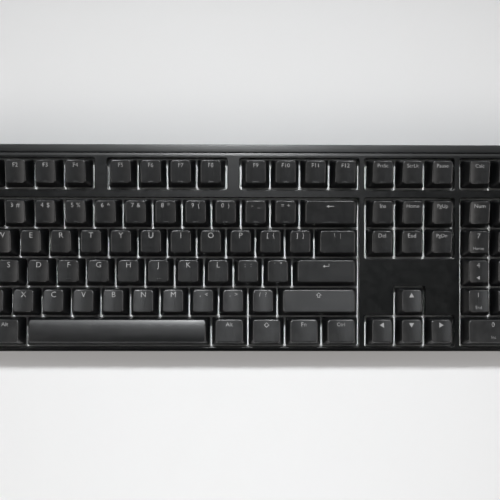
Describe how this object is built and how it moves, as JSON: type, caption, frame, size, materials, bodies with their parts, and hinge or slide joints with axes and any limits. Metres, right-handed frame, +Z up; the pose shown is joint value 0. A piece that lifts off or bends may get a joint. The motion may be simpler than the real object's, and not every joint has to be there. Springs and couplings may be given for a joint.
{
  "type": "mechanical keyboard",
  "caption": "Full-size black mechanical keyboard with sculpted keys over a white plate, slim frame, cable socket and flip-out two-stage feet.",
  "frame": {"origin": "middle of the keyboard's outline on the desk it stands on", "axes": "+X to the typist's right, +Y away from the typist, +Z up"},
  "size_m": [0.4476, 0.1341, 0.0421],
  "materials": {
    "case": "fine satin texture, black",
    "keycaps": "fine matte texture, black",
    "plate": "white powder coat on steel",
    "board": "black laminate and black switch housings",
    "socket": "bright steel",
    "pads": "dull black",
    "feet": "satin, black"
  },
  "bodies": {
    "case": {"bottom_case": "case", "top_case": "case", "switch_plate": "plate", "circuit_board_and_switches": "board", "usb_socket": "socket", "rubber_pad_front_left": "pads", "rubber_pad_front_right": "pads", "rubber_pad_rear_left": "pads", "rubber_pad_rear_right": "pads"},
    "left_foot_tall": {"left_foot_tall": "feet"},
    "left_foot_short": {"left_foot_short": "feet"},
    "right_foot_tall": {"right_foot_tall": "feet"},
    "right_foot_short": {"right_foot_short": "feet"},
    "keys_f1_to_f4": {"keys_f1_to_f4": "keycaps"},
    "keys_f5_to_f8": {"keys_f5_to_f8": "keycaps"},
    "keys_f9_to_f12": {"keys_f9_to_f12": "keycaps"},
    "keys_system": {"keys_system": "keycaps"},
    "keys_media": {"keys_media": "keycaps"},
    "keys_number_row": {"keys_number_row": "keycaps"},
    "keys_brackets": {"keys_brackets": "keycaps"},
    "keys_semicolon_quote": {"keys_semicolon_quote": "keycaps"},
    "keys_comma_period_slash": {"keys_comma_period_slash": "keycaps"},
    "keys_left_modifiers": {"keys_left_modifiers": "keycaps"},
    "keys_right_modifiers": {"keys_right_modifiers": "keycaps"},
    "keys_navigation": {"keys_navigation": "keycaps"},
    "keys_arrows": {"keys_arrows": "keycaps"},
    "keys_numpad": {"keys_numpad": "keycaps"},
    "key_space": {"key_space": "keycaps"},
    "key_enter": {"key_enter": "keycaps"},
    "key_left_shift": {"key_left_shift": "keycaps"},
    "key_right_shift": {"key_right_shift": "keycaps"},
    "key_tab": {"key_tab": "keycaps"},
    "key_caps_lock": {"key_caps_lock": "keycaps"},
    "key_esc": {"key_esc": "keycaps"},
    "key_q": {"key_q": "keycaps"},
    "key_w": {"key_w": "keycaps"},
    "key_e": {"key_e": "keycaps"},
    "key_r": {"key_r": "keycaps"},
    "key_t": {"key_t": "keycaps"},
    "key_y": {"key_y": "keycaps"},
    "key_u": {"key_u": "keycaps"},
    "key_i": {"key_i": "keycaps"},
    "key_o": {"key_o": "keycaps"},
    "key_p": {"key_p": "keycaps"},
    "key_a": {"key_a": "keycaps"},
    "key_s": {"key_s": "keycaps"},
    "key_d": {"key_d": "keycaps"},
    "key_f": {"key_f": "keycaps"},
    "key_g": {"key_g": "keycaps"},
    "key_h": {"key_h": "keycaps"},
    "key_j": {"key_j": "keycaps"},
    "key_k": {"key_k": "keycaps"},
    "key_l": {"key_l": "keycaps"},
    "key_z": {"key_z": "keycaps"},
    "key_x": {"key_x": "keycaps"},
    "key_c": {"key_c": "keycaps"},
    "key_v": {"key_v": "keycaps"},
    "key_b": {"key_b": "keycaps"},
    "key_n": {"key_n": "keycaps"},
    "key_m": {"key_m": "keycaps"}
  },
  "joints": [
    {"name": "left_foot_tall_hinge", "type": "hinge", "parent": "case", "child": "left_foot_tall", "pos_m": [-0.15, 0.04916, 0.004], "axis": [1, 0, 0], "range_deg": [0, 100]},
    {"name": "left_foot_short_hinge", "type": "hinge", "parent": "case", "child": "left_foot_short", "pos_m": [-0.15, 0.04916, 0.004], "axis": [1, 0, 0], "range_deg": [0, 100]},
    {"name": "right_foot_tall_hinge", "type": "hinge", "parent": "case", "child": "right_foot_tall", "pos_m": [0.15, 0.04916, 0.004], "axis": [1, 0, 0], "range_deg": [0, 100]},
    {"name": "right_foot_short_hinge", "type": "hinge", "parent": "case", "child": "right_foot_short", "pos_m": [0.15, 0.04916, 0.004], "axis": [1, 0, 0], "range_deg": [0, 100]},
    {"name": "keys_f1_to_f4_travel", "type": "slide", "parent": "case", "child": "keys_f1_to_f4", "axis": [0, 0.1045, -0.9945], "range_m": [0, 0.004], "stiffness_N_per_m": 75, "springref_m": -0.004},
    {"name": "keys_f5_to_f8_travel", "type": "slide", "parent": "case", "child": "keys_f5_to_f8", "axis": [0, 0.1045, -0.9945], "range_m": [0, 0.004], "stiffness_N_per_m": 75, "springref_m": -0.004},
    {"name": "keys_f9_to_f12_travel", "type": "slide", "parent": "case", "child": "keys_f9_to_f12", "axis": [0, 0.1045, -0.9945], "range_m": [0, 0.004], "stiffness_N_per_m": 75, "springref_m": -0.004},
    {"name": "keys_system_travel", "type": "slide", "parent": "case", "child": "keys_system", "axis": [0, 0.1045, -0.9945], "range_m": [0, 0.004], "stiffness_N_per_m": 75, "springref_m": -0.004},
    {"name": "keys_media_travel", "type": "slide", "parent": "case", "child": "keys_media", "axis": [0, 0.1045, -0.9945], "range_m": [0, 0.004], "stiffness_N_per_m": 75, "springref_m": -0.004},
    {"name": "keys_number_row_travel", "type": "slide", "parent": "case", "child": "keys_number_row", "axis": [0, 0.1045, -0.9945], "range_m": [0, 0.004], "stiffness_N_per_m": 75, "springref_m": -0.004},
    {"name": "keys_brackets_travel", "type": "slide", "parent": "case", "child": "keys_brackets", "axis": [0, 0.1045, -0.9945], "range_m": [0, 0.004], "stiffness_N_per_m": 75, "springref_m": -0.004},
    {"name": "keys_semicolon_quote_travel", "type": "slide", "parent": "case", "child": "keys_semicolon_quote", "axis": [0, 0.1045, -0.9945], "range_m": [0, 0.004], "stiffness_N_per_m": 75, "springref_m": -0.004},
    {"name": "keys_comma_period_slash_travel", "type": "slide", "parent": "case", "child": "keys_comma_period_slash", "axis": [0, 0.1045, -0.9945], "range_m": [0, 0.004], "stiffness_N_per_m": 75, "springref_m": -0.004},
    {"name": "keys_left_modifiers_travel", "type": "slide", "parent": "case", "child": "keys_left_modifiers", "axis": [0, 0.1045, -0.9945], "range_m": [0, 0.004], "stiffness_N_per_m": 75, "springref_m": -0.004},
    {"name": "keys_right_modifiers_travel", "type": "slide", "parent": "case", "child": "keys_right_modifiers", "axis": [0, 0.1045, -0.9945], "range_m": [0, 0.004], "stiffness_N_per_m": 75, "springref_m": -0.004},
    {"name": "keys_navigation_travel", "type": "slide", "parent": "case", "child": "keys_navigation", "axis": [0, 0.1045, -0.9945], "range_m": [0, 0.004], "stiffness_N_per_m": 75, "springref_m": -0.004},
    {"name": "keys_arrows_travel", "type": "slide", "parent": "case", "child": "keys_arrows", "axis": [0, 0.1045, -0.9945], "range_m": [0, 0.004], "stiffness_N_per_m": 75, "springref_m": -0.004},
    {"name": "keys_numpad_travel", "type": "slide", "parent": "case", "child": "keys_numpad", "axis": [0, 0.1045, -0.9945], "range_m": [0, 0.004], "stiffness_N_per_m": 75, "springref_m": -0.004},
    {"name": "key_space_travel", "type": "slide", "parent": "case", "child": "key_space", "axis": [0, 0.1045, -0.9945], "range_m": [0, 0.004], "stiffness_N_per_m": 75, "springref_m": -0.004},
    {"name": "key_enter_travel", "type": "slide", "parent": "case", "child": "key_enter", "axis": [0, 0.1045, -0.9945], "range_m": [0, 0.004], "stiffness_N_per_m": 75, "springref_m": -0.004},
    {"name": "key_left_shift_travel", "type": "slide", "parent": "case", "child": "key_left_shift", "axis": [0, 0.1045, -0.9945], "range_m": [0, 0.004], "stiffness_N_per_m": 75, "springref_m": -0.004},
    {"name": "key_right_shift_travel", "type": "slide", "parent": "case", "child": "key_right_shift", "axis": [0, 0.1045, -0.9945], "range_m": [0, 0.004], "stiffness_N_per_m": 75, "springref_m": -0.004},
    {"name": "key_tab_travel", "type": "slide", "parent": "case", "child": "key_tab", "axis": [0, 0.1045, -0.9945], "range_m": [0, 0.004], "stiffness_N_per_m": 75, "springref_m": -0.004},
    {"name": "key_caps_lock_travel", "type": "slide", "parent": "case", "child": "key_caps_lock", "axis": [0, 0.1045, -0.9945], "range_m": [0, 0.004], "stiffness_N_per_m": 75, "springref_m": -0.004},
    {"name": "key_esc_travel", "type": "slide", "parent": "case", "child": "key_esc", "axis": [0, 0.1045, -0.9945], "range_m": [0, 0.004], "stiffness_N_per_m": 75, "springref_m": -0.004},
    {"name": "key_q_travel", "type": "slide", "parent": "case", "child": "key_q", "axis": [0, 0.1045, -0.9945], "range_m": [0, 0.004], "stiffness_N_per_m": 75, "springref_m": -0.004},
    {"name": "key_w_travel", "type": "slide", "parent": "case", "child": "key_w", "axis": [0, 0.1045, -0.9945], "range_m": [0, 0.004], "stiffness_N_per_m": 75, "springref_m": -0.004},
    {"name": "key_e_travel", "type": "slide", "parent": "case", "child": "key_e", "axis": [0, 0.1045, -0.9945], "range_m": [0, 0.004], "stiffness_N_per_m": 75, "springref_m": -0.004},
    {"name": "key_r_travel", "type": "slide", "parent": "case", "child": "key_r", "axis": [0, 0.1045, -0.9945], "range_m": [0, 0.004], "stiffness_N_per_m": 75, "springref_m": -0.004},
    {"name": "key_t_travel", "type": "slide", "parent": "case", "child": "key_t", "axis": [0, 0.1045, -0.9945], "range_m": [0, 0.004], "stiffness_N_per_m": 75, "springref_m": -0.004},
    {"name": "key_y_travel", "type": "slide", "parent": "case", "child": "key_y", "axis": [0, 0.1045, -0.9945], "range_m": [0, 0.004], "stiffness_N_per_m": 75, "springref_m": -0.004},
    {"name": "key_u_travel", "type": "slide", "parent": "case", "child": "key_u", "axis": [0, 0.1045, -0.9945], "range_m": [0, 0.004], "stiffness_N_per_m": 75, "springref_m": -0.004},
    {"name": "key_i_travel", "type": "slide", "parent": "case", "child": "key_i", "axis": [0, 0.1045, -0.9945], "range_m": [0, 0.004], "stiffness_N_per_m": 75, "springref_m": -0.004},
    {"name": "key_o_travel", "type": "slide", "parent": "case", "child": "key_o", "axis": [0, 0.1045, -0.9945], "range_m": [0, 0.004], "stiffness_N_per_m": 75, "springref_m": -0.004},
    {"name": "key_p_travel", "type": "slide", "parent": "case", "child": "key_p", "axis": [0, 0.1045, -0.9945], "range_m": [0, 0.004], "stiffness_N_per_m": 75, "springref_m": -0.004},
    {"name": "key_a_travel", "type": "slide", "parent": "case", "child": "key_a", "axis": [0, 0.1045, -0.9945], "range_m": [0, 0.004], "stiffness_N_per_m": 75, "springref_m": -0.004},
    {"name": "key_s_travel", "type": "slide", "parent": "case", "child": "key_s", "axis": [0, 0.1045, -0.9945], "range_m": [0, 0.004], "stiffness_N_per_m": 75, "springref_m": -0.004},
    {"name": "key_d_travel", "type": "slide", "parent": "case", "child": "key_d", "axis": [0, 0.1045, -0.9945], "range_m": [0, 0.004], "stiffness_N_per_m": 75, "springref_m": -0.004},
    {"name": "key_f_travel", "type": "slide", "parent": "case", "child": "key_f", "axis": [0, 0.1045, -0.9945], "range_m": [0, 0.004], "stiffness_N_per_m": 75, "springref_m": -0.004},
    {"name": "key_g_travel", "type": "slide", "parent": "case", "child": "key_g", "axis": [0, 0.1045, -0.9945], "range_m": [0, 0.004], "stiffness_N_per_m": 75, "springref_m": -0.004},
    {"name": "key_h_travel", "type": "slide", "parent": "case", "child": "key_h", "axis": [0, 0.1045, -0.9945], "range_m": [0, 0.004], "stiffness_N_per_m": 75, "springref_m": -0.004},
    {"name": "key_j_travel", "type": "slide", "parent": "case", "child": "key_j", "axis": [0, 0.1045, -0.9945], "range_m": [0, 0.004], "stiffness_N_per_m": 75, "springref_m": -0.004},
    {"name": "key_k_travel", "type": "slide", "parent": "case", "child": "key_k", "axis": [0, 0.1045, -0.9945], "range_m": [0, 0.004], "stiffness_N_per_m": 75, "springref_m": -0.004},
    {"name": "key_l_travel", "type": "slide", "parent": "case", "child": "key_l", "axis": [0, 0.1045, -0.9945], "range_m": [0, 0.004], "stiffness_N_per_m": 75, "springref_m": -0.004},
    {"name": "key_z_travel", "type": "slide", "parent": "case", "child": "key_z", "axis": [0, 0.1045, -0.9945], "range_m": [0, 0.004], "stiffness_N_per_m": 75, "springref_m": -0.004},
    {"name": "key_x_travel", "type": "slide", "parent": "case", "child": "key_x", "axis": [0, 0.1045, -0.9945], "range_m": [0, 0.004], "stiffness_N_per_m": 75, "springref_m": -0.004},
    {"name": "key_c_travel", "type": "slide", "parent": "case", "child": "key_c", "axis": [0, 0.1045, -0.9945], "range_m": [0, 0.004], "stiffness_N_per_m": 75, "springref_m": -0.004},
    {"name": "key_v_travel", "type": "slide", "parent": "case", "child": "key_v", "axis": [0, 0.1045, -0.9945], "range_m": [0, 0.004], "stiffness_N_per_m": 75, "springref_m": -0.004},
    {"name": "key_b_travel", "type": "slide", "parent": "case", "child": "key_b", "axis": [0, 0.1045, -0.9945], "range_m": [0, 0.004], "stiffness_N_per_m": 75, "springref_m": -0.004},
    {"name": "key_n_travel", "type": "slide", "parent": "case", "child": "key_n", "axis": [0, 0.1045, -0.9945], "range_m": [0, 0.004], "stiffness_N_per_m": 75, "springref_m": -0.004},
    {"name": "key_m_travel", "type": "slide", "parent": "case", "child": "key_m", "axis": [0, 0.1045, -0.9945], "range_m": [0, 0.004], "stiffness_N_per_m": 75, "springref_m": -0.004}
  ]
}
